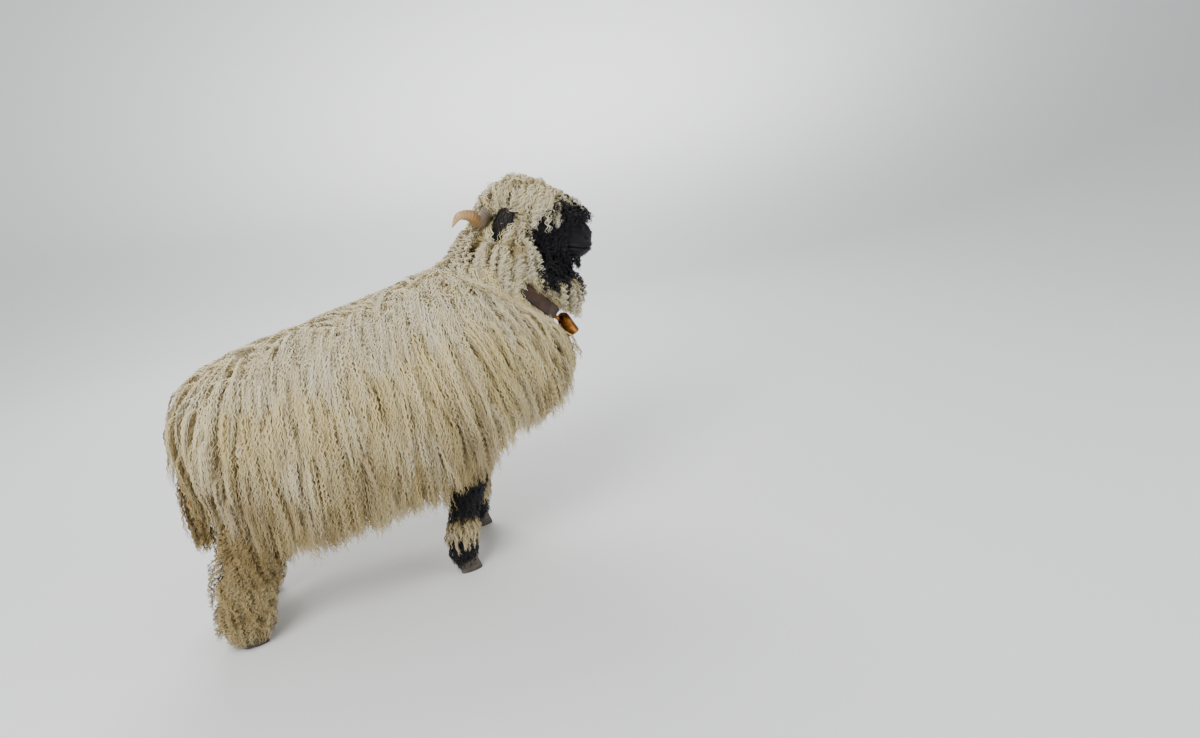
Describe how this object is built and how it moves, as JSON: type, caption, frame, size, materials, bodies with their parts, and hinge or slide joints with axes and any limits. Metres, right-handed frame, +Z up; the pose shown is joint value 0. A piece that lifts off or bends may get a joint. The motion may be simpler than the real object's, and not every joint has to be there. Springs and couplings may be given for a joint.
{
  "type": "valais blacknose sheep",
  "caption": "Standing long-coated sheep, a life-size still model with black face, curled horns, drooping ears, hanging fleece, neck strap and small bell.",
  "frame": {"origin": "middle of the bounding box at floor height, under the belly", "axes": "+X towards the head, +Y to the sheep's left side, +Z up from the floor"},
  "size_m": [1.2954, 0.607, 1.0691],
  "materials": {
    "fleece": "long matte wool, cream to tan",
    "black_wool": "matte black wool",
    "horn": "ridged horn, satin",
    "eye": "wet gloss",
    "claw": "dark hoof horn, satin",
    "leather": "worn dark brown",
    "bell_metal": "dull tarnished"
  },
  "bodies": {
    "root": {"torso": "fleece", "neck": "fleece", "head": "black_wool", "tail": "fleece", "hind_leg_right": "fleece", "hind_leg_left": "fleece", "front_leg_right": "black_wool", "front_leg_left": "black_wool", "ear_right": "black_wool", "ear_left": "black_wool", "horn_right": "horn", "horn_left": "horn", "eye_right": "eye", "eye_left": "eye", "claw_hind_right_inner": "claw", "claw_hind_right_outer": "claw", "claw_hind_left_inner": "claw", "claw_hind_left_outer": "claw", "claw_front_right_inner": "claw", "claw_front_right_outer": "claw", "claw_front_left_inner": "claw", "claw_front_left_outer": "claw", "collar_strap": "leather", "bell": "bell_metal", "bell_clapper": "bell_metal"}
  },
  "joints": []
}
